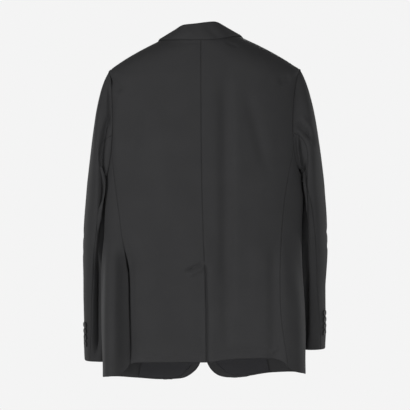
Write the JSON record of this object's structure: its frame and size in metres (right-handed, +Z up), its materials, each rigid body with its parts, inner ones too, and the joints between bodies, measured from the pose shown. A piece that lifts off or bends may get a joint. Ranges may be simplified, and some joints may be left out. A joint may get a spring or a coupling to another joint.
{
  "type": "suit jacket",
  "caption": "Single-breasted suit jacket with notched lapels, flap pockets and a centre back vent, worn on the upper body; it is hollow and open at neck, cuffs and hem.",
  "frame": {"origin": "the middle of the neck's base, where the wearer's shoulders carry the jacket", "axes": "+Z up; +Y out of the jacket's fronts and -Y out of its back; +X towards the wearer's right"},
  "size_m": [0.5574, 0.267, 0.8137],
  "materials": {
    "suiting": "smooth, fine black worsted with a slight sheen",
    "facing": "the same worsted, one layer",
    "horn": "dark, satin"
  },
  "bodies": {
    "root": {"collar": "suiting", "back_left": "suiting", "back_right": "suiting", "side_panel_left": "suiting", "side_panel_right": "suiting", "front_left": "suiting", "front_right": "suiting", "lapel_left": "facing", "lapel_right": "facing", "facing_left": "facing", "facing_right": "facing", "top_sleeve_left": "suiting", "top_sleeve_right": "suiting", "under_sleeve_left": "suiting", "under_sleeve_right": "suiting", "pocket_flap_left": "suiting", "pocket_flap_right": "suiting", "breast_welt": "suiting", "front_button_upper": "horn", "front_button_lower": "horn", "cuff_button_left_1": "horn", "cuff_button_left_2": "horn", "cuff_button_left_3": "horn", "cuff_button_left_4": "horn", "cuff_button_right_1": "horn", "cuff_button_right_2": "horn", "cuff_button_right_3": "horn", "cuff_button_right_4": "horn"}
  },
  "joints": []
}
